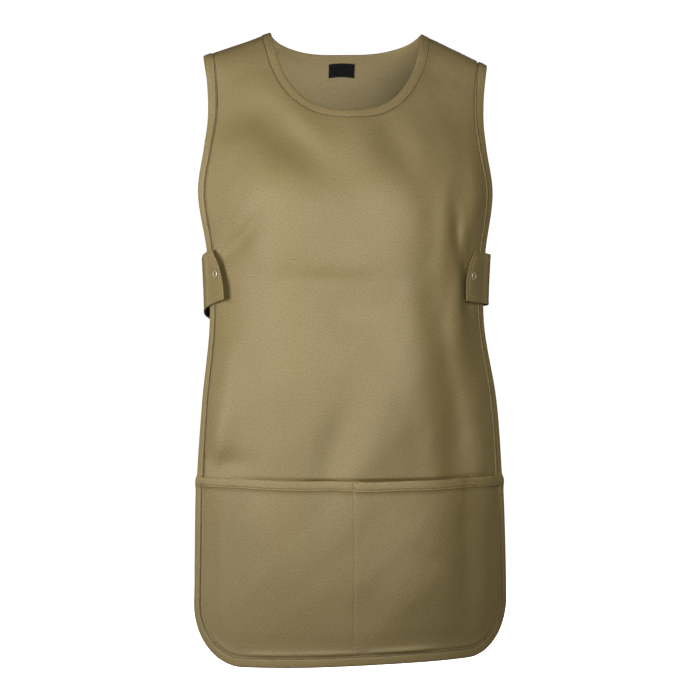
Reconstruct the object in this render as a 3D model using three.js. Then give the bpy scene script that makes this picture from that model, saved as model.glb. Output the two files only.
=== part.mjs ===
// Pinafore apron: a front and a back panel of twill cloth, joined at the shoulders, bound all round with cloth tape,
// with a double pocket across the front and a snap-fastened tab at each side. It is modelled in the form it has when
// worn: millimetres, +Z up, the front facing -Y, the origin between the shoulders at the height of the neck points.
import * as THREE from "three";
import { mergeVertices } from "three/addons/utils/BufferGeometryUtils.js";

const { lerp, clamp, degToRad } = THREE.MathUtils;

// Driving dimensions
const CLOTH = 1.0; // wall of one layer of cloth
const GAP = 0.3; // clearance between pieces that are sewn together
const TAPE_WIDTH = 10; // binding tape, as folded over an edge
const TAPE_WALL = 1.0;
const NECK_HALF = 93; // neck opening at the shoulder seams
const NECK_FRONT_DROP = 140; // along the cloth, from the seams to the lowest point
const NECK_BACK_DROP = 69;
const NECK_FRONT_FULLNESS = 2.25; // superellipse exponents of the two scoops
const NECK_BACK_FULLNESS = 1.85;
const SHOULDER_TILT = 0.13; // the right shoulder falls more than the left, by this share of the slope each way
const HEM_LEAN = 6; // the front hem rises towards the right by this for each half width
const CORNER = { left: 73, right: 66 }; // radii of the hem's corners
const POCKET_TOP_Z = -545; // mouth of the pocket at mid panel
const POCKET_SAG = 3; // the mouth's ends lie higher by this
const POCKET_BULGE = 11; // how far each pouch stands off the panel at its mouth
const TAB_HEIGHT = { left: 65.5, right: 62 }; // upright; the left tab runs at a slope
const TAB_WALL = 2.0; // two layers
const TAB_Z = { left: -294.5, right: -297.5 }; // middle of the tab's free end
const TAB_END_SLANT = { left: degToRad(19.1), right: degToRad(14.6) }; // the free end's top corner lies further back
const TAB_END_BOW = { left: 6.5, right: 6.3 }; // the free end bows forwards between its corners
const SNAP = { ring: 10, hole: 5.6, rise: 1.2, postTop: 8, postFoot: 6.4 };
const SNAP_FROM_END = { left: 0.078, right: 0.0845 }; // as a share of the tab's length
const SNAP_ABOVE_MIDDLE = 0.6;
const LABEL = { width: 33, height: 16, below: 0.8, clear: 1.0 };

// A short table: each row becomes an object with the named columns.
const table = (columns, rows) => rows.map((row) => Object.fromEntries(columns.map((name, i) => [name, row[i]])));

// Sections of the cloth from the front hem, over the shoulders, to the back hem. z and y place the middle of the
// section, half is its half width and shift its move to the right, edge is how far the side edges lie towards the other panel, turn is how much of
// that comes late, near the edges, and fall is the slope from the neck point down to the shoulder tip.
const SECTIONS = table(["name", "z", "y", "half", "shift", "edge", "turn", "fall"], [
  ["front hem", -759, -128, 188, 2.5, 78, 0.25, 0],
  ["pocket middle", -655, -127, 186.5, 3, 80, 0.25, 0],
  ["pocket mouth", -545, -124, 184, 2.5, 82, 0.25, 0],
  ["hip", -450, -122, 178, 3, 90, 0.25, 0],
  ["waist", -350, -120, 166, 0.5, 98, 0.2, 0],
  ["under bust", -270, -122, 168.5, -0.5, 97, 0.1, 0],
  ["bust", -195, -118, 178, -2, 88, -0.05, 0],
  ["chest", -140, -98, 171, -2, 68, 0, 10],
  ["front collar", -95, -70, 167, -1, 46, 0, 28],
  ["upper chest", -50, -46, 168, -0.5, 28, 0, 46],
  ["front of shoulder", -16, -26, 171, 0, 13, 0, 60],
  ["front of crest", -4, -12.5, 172.5, 0, 5, 0, 68],
  ["crest", 0, 0, 173, 0, 0, 0, 71],
  ["back of crest", -4, 12.5, 172.5, 0, -4, 0, 68],
  ["back of shoulder", -15, 29, 171, 0, -11, 0, 60],
  ["back collar", -45, 60, 167, 0, -27, 0, 44],
  ["upper back", -97, 80, 163, 0, -41, 0, 22],
  ["shoulder blades", -165, 92, 166, 0, -54, 0.1, 6],
  ["mid back", -260, 94, 165, 0, -62, 0.15, 0],
  ["back waist", -350, 91, 163, 0, -62, 0.2, 0],
  ["seat", -470, 97, 170, 0, -60, 0.25, 0],
  ["back skirt", -620, 105, 179, 0, -58, 0.25, 0],
  ["back hem", -759, 108, 183, 0, -56, 0.25, 0],
]);
const CREST = SECTIONS.findIndex((row) => row.name === "crest");

// Soft folds and dents of the front and the back: place of the middle, half length, half width, lean of the length
// from upright towards +x in degrees, and rise out of the cloth (a dent is negative).
const FOLDS = {
  front: table(["name", "x", "z", "length", "width", "lean", "rise"], [
    ["left breast", -82, -225, 75, 62, 0, 9],
    ["right breast", 82, -225, 75, 62, 0, 9],
    ["hollow beside the neck, left", -75, -128, 60, 30, -38, -6],
    ["hollow beside the neck, right", 55, -135, 55, 26, 38, -5],
    ["under the bust", -25, -310, 24, 70, 0, -4],
    ["pull of the left tab", -128, -258, 45, 13, 38, -4],
    ["pull of the right tab", 124, -268, 62, 13, 6, -6],
    ["left skirt hollow", -128, -505, 70, 24, -4, -5],
    ["middle skirt hollow", -30, -520, 70, 20, 8, -4],
    ["middle skirt ridge", 22, -500, 110, 22, 20, 4],
    ["right skirt hollow", 122, -520, 160, 15, -4, -6],
    ["right skirt ridge", 95, -480, 150, 20, -4, 3],
    ["hem wave, left", -70, -770, 60, 40, 0, 3],
    ["hem wave, right", 40, -770, 60, 45, 0, -3],
  ]),
  back: table(["name", "x", "z", "length", "width", "lean", "rise"], [
    ["spine", 0, -220, 120, 26, 0, -5],
    ["left back fold", -95, -560, 190, 30, 6, 5],
    ["right back fold", 90, -580, 180, 30, -6, 5],
  ]),
};

// A smooth curve through one column of the sections, by the distance along the cloth from the crest.
const SECTION_AT = SECTIONS.map((row, i) => {
  const steps = SECTIONS.slice(Math.min(i, CREST), Math.max(i, CREST) + 1);
  const length = steps.reduce((sum, s, j) => sum + (j ? Math.hypot(s.y - steps[j - 1].y, s.z - steps[j - 1].z) : 0), 0);
  return i < CREST ? -length : length;
});
function smoothColumn(column) {
  const x = SECTION_AT;
  const v = SECTIONS.map((row) => row[column]);
  const last = v.length - 1;
  const rate = (i) => (v[i + 1] - v[i]) / (x[i + 1] - x[i]);
  const slope = v.map((_, i) => {
    if (i === 0) return rate(0);
    if (i === last) return rate(last - 1);
    const before = x[i] - x[i - 1];
    const after = x[i + 1] - x[i];
    return (rate(i - 1) * after + rate(i) * before) / (before + after);
  });
  return (along) => {
    let i = 0;
    while (i < last - 1 && along > x[i + 1]) i += 1;
    const h = x[i + 1] - x[i];
    const s = (along - x[i]) / h;
    const rise = (2 * s ** 3 - 3 * s ** 2 + 1) * v[i] + (3 * s ** 2 - 2 * s ** 3) * v[i + 1];
    return rise + h * ((s ** 3 - 2 * s ** 2 + s) * slope[i] + (s ** 3 - s ** 2) * slope[i + 1]);
  };
}
const COLUMN = Object.fromEntries(["z", "y", "half", "shift", "edge", "turn", "fall"].map((c) => [c, smoothColumn(c)]));
const NECK_U = NECK_HALF / SECTIONS[CREST].half;

function foldRise(folds, x, z) {
  return folds.reduce((sum, f) => {
    const lean = degToRad(f.lean);
    const dx = x - f.x;
    const dz = z - f.z;
    const lengthwise = dx * Math.sin(lean) + dz * Math.cos(lean);
    const across = dx * Math.cos(lean) - dz * Math.sin(lean);
    return sum + f.rise * Math.exp(-((lengthwise / f.length) ** 2) - (across / f.width) ** 2);
  }, 0);
}

// A point of the cloth. u runs from -1 at the left edge to 1 at the right; along is the distance from the crest, less
// than 0 on the front and more than 0 on the back.
function clothPoint(u, along) {
  const turn = COLUMN.turn(along);
  const fall = COLUMN.fall(along);
  const bow = (1 - turn) * u ** 2 + turn * u ** 4;
  const x = COLUMN.half(along) * u + COLUMN.shift(along);
  const z = COLUMN.z(along) - fall * (1 + SHOULDER_TILT * u) * (Math.hypot(u, 0.12) - NECK_U);
  const out = Math.sign(along) * foldRise(along < 0 ? FOLDS.front : FOLDS.back, x, z);
  return new THREE.Vector3(x, COLUMN.y(along) + COLUMN.edge(along) * bow + out, z);
}
function clothFrame(u, along) {
  const du = 1e-3;
  const da = 0.25;
  const acrossCloth = clothPoint(u + du, along).sub(clothPoint(u - du, along)).divideScalar(2 * du);
  const alongCloth = clothPoint(u, along + da).sub(clothPoint(u, along - da)).divideScalar(2 * da);
  const normal = acrossCloth.clone().cross(alongCloth).normalize();
  return { point: clothPoint(u, along), normal, acrossCloth, alongCloth };
}

// The distance along the front (side -1) or the back (side 1) at which the middle of the cloth is at height z.
function alongAtHeight(side, z) {
  let near = 0;
  let far = side < 0 ? SECTION_AT[0] : SECTION_AT[SECTIONS.length - 1];
  for (let i = 0; i < 40; i += 1) {
    const middle = (near + far) / 2;
    if (COLUMN.z(middle) > z) near = middle;
    else far = middle;
  }
  return near;
}

// A station on an edge: its place, and the place that lies inwards from it by a distance measured on the cloth.
function station(u, along, tangent, inwards, distance) {
  const f = clothFrame(u, along);
  const edge = f.acrossCloth.clone().multiplyScalar(tangent.u).addScaledVector(f.alongCloth, tangent.along);
  const step = edge.normalize().cross(f.normal).multiplyScalar(inwards * distance);
  const e = f.acrossCloth.dot(f.acrossCloth);
  const g = f.alongCloth.dot(f.alongCloth);
  const m = f.acrossCloth.dot(f.alongCloth);
  const a = f.acrossCloth.dot(step);
  const b = f.alongCloth.dot(step);
  const det = e * g - m * m;
  return { u, along, inner: { u: u + (a * g - b * m) / det, along: along + (b * e - a * m) / det } };
}
const INSET = TAPE_WIDTH + GAP + 0.05; // the tape's legs end a little before the cloth's second ring of points

// The outer edge of a panel, as stations from the left shoulder tip, down the side, round the hem, to the right tip.
const FRONT_HEM = -SECTION_AT[0];
const BACK_HEM = SECTION_AT[SECTIONS.length - 1];
const POCKET_TOP = -alongAtHeight(-1, POCKET_TOP_Z);
const CORNER_STEPS = 5;
const HEM_STEPS = 10;
function outerEdge(side, hem, sideStops, lean) {
  const hemAt = (u) => hem - lean * u;
  const half = (sign) => {
    const radius = sign < 0 ? CORNER.left : CORNER.right;
    const turnStart = hemAt(sign) - radius;
    const cornerU = radius / clothFrame(0.85 * sign, side * turnStart).acrossCloth.length();
    const list = sideStops(turnStart).map((along) => ({ u: sign, along, tangent: { u: 0, along: 1 } }));
    for (let i = 1; i <= CORNER_STEPS; i += 1) {
      const angle = (i / CORNER_STEPS) * (Math.PI / 2);
      const u = sign * (1 - cornerU * (1 - Math.cos(angle)));
      const along = hemAt(u) - radius * (1 - Math.sin(angle));
      list.push({ u, along, tangent: { u: -sign * cornerU * Math.sin(angle), along: radius * Math.cos(angle) } });
    }
    return list;
  };
  const left = half(-1);
  const right = half(1).reverse();
  const from = left[left.length - 1].u;
  const to = right[0].u;
  const hemline = Array.from({ length: HEM_STEPS - 1 }, (_, i) => {
    const u = lerp(from, to, (i + 1) / HEM_STEPS);
    return { u, along: hemAt(u), tangent: { u: 1, along: -lean } };
  });
  // Down the left side and along the hem the walk is anticlockwise seen from outside; the right side is listed downwards.
  return [...left, ...hemline, ...right].map((s, i) => {
    const upwards = i >= left.length + hemline.length ? -1 : 1;
    const tangent = { u: s.tangent.u * upwards, along: s.tangent.along * side * upwards };
    return station(s.u, side * s.along, tangent, side, INSET);
  });
}
const eased = (from, to, steps, power) =>
  Array.from({ length: steps + 1 }, (_, i) => lerp(from, to, (i / steps) ** power));
const SEAM_STEPS = 13;
const MOUTH_AT = POCKET_TOP - POCKET_SAG; // where the pocket's mouth meets the side edges
const frontStops = (end) => [
  ...eased(0, MOUTH_AT - 14, SEAM_STEPS, 1.3),
  MOUTH_AT,
  ...eased(MOUTH_AT + INSET, end, 3, 1),
];
const frontEdge = outerEdge(-1, FRONT_HEM, frontStops, HEM_LEAN);
const backEdge = outerEdge(1, BACK_HEM, (end) => eased(0, end, 12, 1.25), 0);

// The neck opening as stations from the left neck point to the right one.
function neckEdge(side, drop, fullness, steps) {
  const power = 2 / fullness;
  const at = (angle) => ({
    u: -NECK_U * Math.sign(Math.cos(angle)) * Math.abs(Math.cos(angle)) ** power,
    along: side * drop * Math.sign(Math.sin(angle)) * Math.abs(Math.sin(angle)) ** power,
  });
  return Array.from({ length: steps + 1 }, (_, i) => {
    const angle = (Math.PI * i) / steps;
    const { u, along } = at(angle);
    const before = at(angle - 0.02);
    const after = at(angle + 0.02);
    const tangent = { u: after.u - before.u, along: after.along - before.along };
    return station(u, along, tangent, -side, INSET);
  });
}
const frontNeck = neckEdge(-1, NECK_FRONT_DROP, NECK_FRONT_FULLNESS, frontEdge.length - 1);
const backNeck = neckEdge(1, NECK_BACK_DROP, NECK_BACK_FULLNESS, backEdge.length - 1);

// A closed wall from a grid of point pairs, one on each face of the wall. Pairs that coincide close up a corner. The
// listed rings have their facets cut along the other diagonal, so that they lie parallel to the cloth beside them.
function wall(grid, looped = false, otherDiagonal = []) {
  const lines = grid.length;
  const rings = grid[0].length;
  const positions = [];
  grid.forEach((line) => line.forEach(({ low, high }) => positions.push(...low.toArray(), ...high.toArray())));
  const low = (k, r) => 2 * ((k % lines) * rings + r);
  const high = (k, r) => low(k, r) + 1;
  const triangles = [];
  const quad = (a, b, c, d) => triangles.push([a, b, c], [a, c, d]);
  const facet = (r, a, b, c, d) => (otherDiagonal.includes(r) ? quad(b, c, d, a) : quad(a, b, c, d));
  const spans = looped ? lines : lines - 1;
  for (let k = 0; k < spans; k += 1) {
    for (let r = 0; r < rings - 1; r += 1) {
      facet(r, high(k, r), high(k + 1, r), high(k + 1, r + 1), high(k, r + 1));
      facet(r, low(k, r), low(k, r + 1), low(k + 1, r + 1), low(k + 1, r));
    }
    quad(low(k, 0), low(k + 1, 0), high(k + 1, 0), high(k, 0));
    quad(high(k, rings - 1), high(k + 1, rings - 1), low(k + 1, rings - 1), low(k, rings - 1));
  }
  if (!looped) {
    for (let r = 0; r < rings - 1; r += 1) {
      quad(low(0, r), high(0, r), high(0, r + 1), low(0, r + 1));
      quad(high(lines - 1, r), low(lines - 1, r), low(lines - 1, r + 1), high(lines - 1, r + 1));
    }
  }
  const geometry = new THREE.BufferGeometry();
  geometry.setAttribute("position", new THREE.Float32BufferAttribute(positions, 3));
  geometry.setIndex(triangles.flat());
  return facingOut(geometry);
}
function facingOut(geometry) {
  const merged = mergeVertices(geometry, 1e-3);
  const position = merged.getAttribute("position");
  const corner = (i) => new THREE.Vector3().fromBufferAttribute(position, i);
  const kept = [];
  let volume = 0;
  for (let i = 0; i < merged.index.count; i += 3) {
    const [a, b, c] = [0, 1, 2].map((j) => merged.index.getX(i + j));
    if (a !== b && b !== c && c !== a) {
      kept.push([a, b, c]);
      volume += corner(a).dot(corner(b).cross(corner(c)));
    }
  }
  merged.setIndex((volume < 0 ? kept.map(([a, b, c]) => [a, c, b]) : kept).flat());
  merged.computeVertexNormals();
  return merged;
}

// Two faces of a wall at heights above the cloth's inner face.
function pairAt(place, from, to) {
  const { point, normal } = clothFrame(place.u, place.along);
  return { low: point.clone().addScaledVector(normal, from), high: point.clone().addScaledVector(normal, to) };
}

// Front and back panels: lines fan out from the neck opening to the outer edge, each with a ring of points where the
// binding tapes end. The panels stop just short of the crest, where the shoulder seams join them.
const INNER_RINGS = { front: 13, back: 12 };
const RING_EASE = { front: 1.1, back: 1.6 }; // more than 1 sets the rings closer towards the neck
function panel(side, outer, neck, rings, ease) {
  const seam = (place) => ({ u: place.u, along: side * Math.max(side * place.along, GAP / 2) });
  const grid = outer.map((o, k) => {
    const n = neck[k];
    const between = eased(1, 0, rings, 1).map((left) => ({
      u: lerp(n.inner.u, o.inner.u, left ** ease),
      along: lerp(n.inner.along, o.inner.along, left ** ease),
    }));
    return [o, ...between, n].map((place) => pairAt(seam(place), 0, CLOTH));
  });
  return wall(side < 0 ? grid : grid.reverse());
}

// A binding tape folded over an edge: from one leg's end, round the fold, to the other leg's end.
function foldedTape(edge, inner, under, over) {
  const along = edge.point.clone().sub(inner.point);
  const reach = along.length();
  const out = along.normalize();
  const legEnd = (pair) => pair.clone().addScaledVector(out, reach - TAPE_WIDTH);
  const at = (frame, height, beyond) =>
    frame.point.clone().addScaledVector(frame.normal, height).addScaledVector(out, beyond);
  const fold = GAP + TAPE_WALL;
  const inside = [
    legEnd(at(inner, under - GAP, 0)),
    at(edge, under - GAP, GAP),
    at(edge, over + GAP, GAP),
    legEnd(at(inner, over + GAP, 0)),
  ];
  const outside = [
    legEnd(at(inner, under - fold, 0)),
    at(edge, under - fold, fold),
    at(edge, over + fold, fold),
    legEnd(at(inner, over + fold, 0)),
  ];
  return inside.map((low, i) => ({ low, high: outside[i] }));
}
const tapeOver = (s, over) =>
  foldedTape(clothFrame(s.u, s.along), clothFrame(s.inner.u, s.inner.along), 0, over);

// Heights of the layers under the edge tape: the panel alone, with the pocket on it, and with the pocket's thicker mouth.
const POCKET_FOOT = CLOTH + GAP + 0.2;
const MOUTH_LIFT = TAPE_WALL + GAP + 0.3;
const ON_POCKET = POCKET_FOOT + CLOTH;
const ON_MOUTH = ON_POCKET + MOUTH_LIFT;
const mouthIndex = frontEdge.findIndex((s) => -s.along > MOUTH_AT - 1);
const mouthEnd = frontEdge.length - 1 - mouthIndex;
function layersAt(k) {
  const inwards = Math.min(k - mouthIndex, mouthEnd - k);
  if (inwards < 0) return CLOTH;
  return inwards > 1 ? ON_POCKET : ON_MOUTH;
}
const edgeBinding = wall(
  [
    ...frontEdge.map((s, k) => tapeOver(s, layersAt(k))),
    ...backEdge.slice(1, -1).reverse().map((s) => tapeOver(s, CLOTH)),
  ],
  true,
  [0],
);
const neckBinding = wall(
  [...frontNeck, ...backNeck.slice(1, -1).reverse()].map((s) => tapeOver(s, CLOTH)),
  true,
  [2],
);

// The pocket: one cloth caught in the side and hem tapes, with a stitched line at its middle that makes two pouches.
// Its grid has the panel's own edge stations round the outside, so that the layers lie parallel there.
const SIDE_ROWS = 6; // from the mouth to the middle of the corner
const POCKET_COLUMNS = mouthEnd - mouthIndex - 2 * SIDE_ROWS;
const mouthPlace = (i) => {
  const from = frontEdge[mouthIndex].inner.u;
  const to = frontEdge[mouthEnd].inner.u;
  const u = lerp(from, to, i / POCKET_COLUMNS);
  return { u, along: -POCKET_TOP + POCKET_SAG * u ** 2 };
};
const footPlace = (i) => frontEdge[mouthIndex + SIDE_ROWS + i].inner;
const leftPlace = (r) => frontEdge[mouthIndex + r].inner;
const rightPlace = (r) => frontEdge[mouthEnd - r].inner;
function pocketPlace(i, r) {
  const across = i / POCKET_COLUMNS;
  const down = clamp((-leftPlace(r).along - MOUTH_AT) / (-leftPlace(SIDE_ROWS).along - MOUTH_AT), 0, 1);
  const patch = (key) => {
    const sides = lerp(leftPlace(r)[key], rightPlace(r)[key], across);
    const ends = lerp(mouthPlace(i)[key], footPlace(i)[key], down);
    const corners = lerp(
      lerp(mouthPlace(0)[key], mouthPlace(POCKET_COLUMNS)[key], across),
      lerp(footPlace(0)[key], footPlace(POCKET_COLUMNS)[key], across),
      down,
    );
    return sides + ends - corners;
  };
  return { u: patch("u"), along: patch("along") };
}
const POCKET_FLOOR = FRONT_HEM - 25; // the pouches lie flat below this
function pocketHeight(place, r) {
  const span = Math.abs(frontEdge[mouthIndex].inner.u);
  const pouch = Math.abs(Math.sin((Math.PI * clamp(Math.abs(place.u), 0, span)) / span));
  const depth = clamp((POCKET_FLOOR + place.along) / (POCKET_FLOOR - POCKET_TOP), 0, 1);
  const lift = r <= 1 ? MOUTH_LIFT : 0;
  return POCKET_FOOT + lift + POCKET_BULGE * pouch ** 0.8 * Math.sin((depth * Math.PI) / 2);
}
const pocketGrid = Array.from({ length: POCKET_COLUMNS + 3 }, (_, column) => {
  const i = clamp(column - 1, 0, POCKET_COLUMNS);
  const line = Array.from({ length: SIDE_ROWS + 1 }, (__, r) => {
    if (column === 0) return { ...frontEdge[mouthIndex + r], r };
    if (column === POCKET_COLUMNS + 2) return { ...frontEdge[mouthEnd - r], r };
    return { ...pocketPlace(i, r), r, i };
  });
  return [...line, { ...frontEdge[mouthIndex + SIDE_ROWS + i], r: SIDE_ROWS + 1 }];
});
const pocketPairs = pocketGrid.map((line, column) =>
  line.map((place) => {
    const caught = column < 2 || column > POCKET_COLUMNS || place.r >= SIDE_ROWS;
    const height = caught ? POCKET_FOOT + (place.r <= 1 ? MOUTH_LIFT : 0) : pocketHeight(place, place.r);
    return pairAt(place, height, height + CLOTH);
  }),
);
const pocketPanel = wall(pocketPairs, false, [SIDE_ROWS]);

// The tape over the pocket's mouth, between the two side tapes.
const pocketBinding = wall(
  pocketPairs.slice(1, -1).map((line) => {
    const frame = ({ low, high }) => ({ point: low, normal: high.clone().sub(low).normalize() });
    return foldedTape(frame(line[0]), frame(line[1]), 0, CLOTH);
  }),
  false,
  [0],
);

// Side tabs: sewn to the back panel, carried round the side and snapped to the front panel. Each row is a place on one
// panel (u is the share of the half width, past 1 beyond the edge), the tab's middle above it, and how far the tab has
// dropped there from the height of its free end.
const TAB_PATH = {
  left: table(["side", "u", "above", "drop"], [
    [-1, 0.865, 11.2, 0],
    [-1, 0.925, 7.7, 2.5],
    [-1, 0.98, 5.6, 6],
    [-1, 1.012, 4.9, 9.5],
    [1, 1.03, 3.8, 19.2],
    [1, 0.975, 4.8, 24],
    [1, 0.92, 4.8, 26],
    [1, 0.86, 4.8, 28],
  ]),
  right: table(["side", "u", "above", "drop"], [
    [-1, 0.815, 8.9, 0],
    [-1, 0.885, 7.5, 1.5],
    [-1, 0.965, 6.1, 2.4],
    [-1, 1.01, 6.5, 3.5],
    [1, 1.038, 4.8, 4.6],
    [1, 0.975, 4.8, 3.8],
    [1, 0.92, 5, 3.4],
    [1, 0.86, 4.8, 3],
  ]),
};
function tabCurve(hand, height) {
  const sign = hand === "left" ? -1 : 1;
  const path = TAB_PATH[hand].map(({ side, u, above, drop }) => {
    const along = alongAtHeight(side, TAB_Z[hand] + height - drop);
    const { point, normal } = clothFrame(sign * u, along);
    return point.addScaledVector(normal, above);
  });
  return new THREE.CatmullRomCurve3(path, false, "centripetal");
}
const TAB_STEPS = 18;
const TAB_ROWS = 4;
function tabPoint(hand, share, height) {
  const curve = tabCurve(hand, height);
  const slant = (height + TAB_HEIGHT[hand] / 2) * Math.tan(TAB_END_SLANT[hand]);
  const bow = TAB_END_BOW[hand] * (1 - ((2 * height) / TAB_HEIGHT[hand]) ** 2);
  const start = Math.max(0, slant - bow) / curve.getLength();
  return curve.getPointAt(clamp(lerp(start, 1, share), 0, 1));
}
function tabFrame(hand, share, height) {
  const near = clamp(share, 0.01, 0.99);
  const lengthwise = tabPoint(hand, near + 0.01, height).sub(tabPoint(hand, near - 0.01, height));
  const upwards = tabPoint(hand, share, height + 1).sub(tabPoint(hand, share, height - 1));
  const normal = lengthwise.cross(upwards).normalize();
  const outwards = hand === "left" ? -1 : 1;
  return { point: tabPoint(hand, share, height), normal: normal.multiplyScalar(outwards) };
}
function sideTab(hand) {
  const grid = Array.from({ length: TAB_STEPS + 1 }, (_, k) =>
    Array.from({ length: TAB_ROWS + 1 }, (__, r) => {
      const height = lerp(-0.5, 0.5, r / TAB_ROWS) * TAB_HEIGHT[hand];
      const { point, normal } = tabFrame(hand, k / TAB_STEPS, height);
      return {
        low: point.clone().addScaledVector(normal, -TAB_WALL / 2),
        high: point.clone().addScaledVector(normal, TAB_WALL / 2),
      };
    }),
  );
  return wall(grid);
}

// Press studs: a ring on the tab's face, and under the tab the stud that holds it to the front panel.
function snapSeat(hand, height) {
  const { point, normal } = tabFrame(hand, SNAP_FROM_END[hand], SNAP_ABOVE_MIDDLE);
  const turn = new THREE.Quaternion().setFromUnitVectors(new THREE.Vector3(0, 1, 0), normal);
  return { position: point.addScaledVector(normal, height), turn };
}
function snapRing() {
  const inner = SNAP.hole / 2;
  const outer = SNAP.ring / 2;
  const profile = [
    [inner, 0],
    [outer, 0],
    [outer, SNAP.rise * 0.4],
    [lerp(outer, inner, 0.3), SNAP.rise],
    [lerp(outer, inner, 0.7), SNAP.rise],
    [inner, SNAP.rise * 0.4],
    [inner, 0],
  ];
  return facingOut(new THREE.LatheGeometry(profile.map(([x, y]) => new THREE.Vector2(x, y)), 20));
}
function snapStud(height) {
  const top = SNAP.postTop / 2;
  const foot = SNAP.postFoot / 2;
  const profile = [
    [0, -height / 2],
    [foot, -height / 2],
    [foot, 0],
    [top, height * 0.15],
    [top, height / 2],
    [0, height / 2],
  ];
  return facingOut(new THREE.LatheGeometry(profile.map(([x, y]) => new THREE.Vector2(x, y)), 14));
}

// The woven label inside the back of the neck, just under the tape.
function neckLabel() {
  const top = NECK_BACK_DROP + INSET + LABEL.below;
  const half = LABEL.width / 2 / COLUMN.half(top);
  const grid = [-1, -0.5, 0, 0.5, 1].map((share) =>
    [0, 0.5, 1].map((down) => pairAt({ u: share * half, along: top + down * LABEL.height }, -LABEL.clear - CLOTH, -LABEL.clear)),
  );
  return wall(grid);
}

// Materials
const cloth = new THREE.MeshStandardMaterial({ name: "khaki_twill", color: 0x8a7a52, roughness: 0.85, metalness: 0 });
const tape = new THREE.MeshStandardMaterial({ name: "khaki_tape", color: 0x8f7f57, roughness: 0.85, metalness: 0 });
const metal = new THREE.MeshStandardMaterial({ name: "nickel", color: 0xcfcac0, roughness: 0.3, metalness: 1 });
const satin = new THREE.MeshStandardMaterial({ name: "black_label", color: 0x15161a, roughness: 0.6, metalness: 0 });

const apron = new THREE.Group();
apron.name = "pinafore_apron";
function add(name, geometry, material) {
  const mesh = new THREE.Mesh(geometry, material);
  mesh.name = name;
  apron.add(mesh);
  return mesh;
}
add("front_panel", panel(-1, frontEdge, frontNeck, INNER_RINGS.front, RING_EASE.front), cloth);
add("back_panel", panel(1, backEdge, backNeck, INNER_RINGS.back, RING_EASE.back), cloth);
add("edge_binding", edgeBinding, tape);
add("neck_binding", neckBinding, tape);
add("pocket_panel", pocketPanel, cloth);
add("pocket_binding", pocketBinding, tape);
add("neck_label", neckLabel(), satin);
const RING_SEAT = TAB_WALL / 2 + 2 * GAP;
const STUD_HEIGHT = 4.2;
const STUD_SEAT = -(TAB_WALL / 2 + GAP + STUD_HEIGHT / 2);
["left", "right"].forEach((hand) => {
  add(`side_tab_${hand}`, sideTab(hand), cloth);
  [
    [`snap_ring_${hand}`, snapRing(), RING_SEAT],
    [`snap_stud_${hand}`, snapStud(STUD_HEIGHT), STUD_SEAT],
  ].forEach(([name, geometry, height]) => {
    const mesh = add(name, geometry, metal);
    const seat = snapSeat(hand, height);
    mesh.position.copy(seat.position);
    mesh.quaternion.copy(seat.turn);
  });
});

export default apron;
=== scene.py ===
# %% [markdown]
# # Pinafore apron
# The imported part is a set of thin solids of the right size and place. This lesson dresses it: each cloth is
# made again as a fine sheet, then come the folded tapes, the tabs, the label, the threads and the press
# studs. Every new piece is made in the part's frame, in metres, with the front facing -Y.

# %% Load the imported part
import math

import bpy
import numpy as np
from mathutils import Matrix, Vector


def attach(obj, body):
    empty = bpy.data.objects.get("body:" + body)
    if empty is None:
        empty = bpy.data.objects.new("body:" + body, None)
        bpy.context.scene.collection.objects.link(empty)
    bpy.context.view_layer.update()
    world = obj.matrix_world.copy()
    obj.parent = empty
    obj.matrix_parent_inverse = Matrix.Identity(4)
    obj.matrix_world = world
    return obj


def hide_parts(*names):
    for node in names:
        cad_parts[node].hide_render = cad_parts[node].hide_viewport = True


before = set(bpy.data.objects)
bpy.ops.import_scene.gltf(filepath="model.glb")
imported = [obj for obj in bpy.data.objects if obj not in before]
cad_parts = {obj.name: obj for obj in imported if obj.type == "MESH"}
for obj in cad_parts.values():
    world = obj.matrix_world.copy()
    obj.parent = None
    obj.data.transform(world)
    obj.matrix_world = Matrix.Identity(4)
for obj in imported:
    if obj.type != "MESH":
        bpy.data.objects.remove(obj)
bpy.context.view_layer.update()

MM = 0.001

# %% [markdown]
# ## Camera
# The apron is seen almost squarely from the front, a little from its left, through a long lens from three
# metres. A camera that stands level at its middle keeps the sides upright.

# %% Camera
AZIMUTH = math.radians(-4.4)
DISTANCE = 3.0
EYE_HEIGHT = -0.388
ASIDE = 0.0055
LENS, SENSOR = 125.4, 36
sight = Vector((-math.sin(AZIMUTH), math.cos(AZIMUTH), 0))
sideways = Vector((math.cos(AZIMUTH), math.sin(AZIMUTH), 0))
eye = sideways * ASIDE - sight * DISTANCE + Vector((0, 0, EYE_HEIGHT))
bpy.ops.object.camera_add(location=eye, rotation=(math.pi / 2, 0, AZIMUTH))
camera = bpy.context.object
camera.data.lens = LENS
camera.data.sensor_width = SENSOR
bpy.context.scene.camera = camera
print("camera at", [round(v, 3) for v in eye])

# %% [markdown]
# ## The worn form
# Cloth over a body is one surface from the front hem, over the shoulders, to the back hem. A short table of
# cross-sections describes it: where the middle of the cloth is, how wide it is, and how far its side edges
# curve back. A smooth curve through each column leaves no steps between the rows. The sizes, in
# millimetres, are the ones that the solids were built from.

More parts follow.
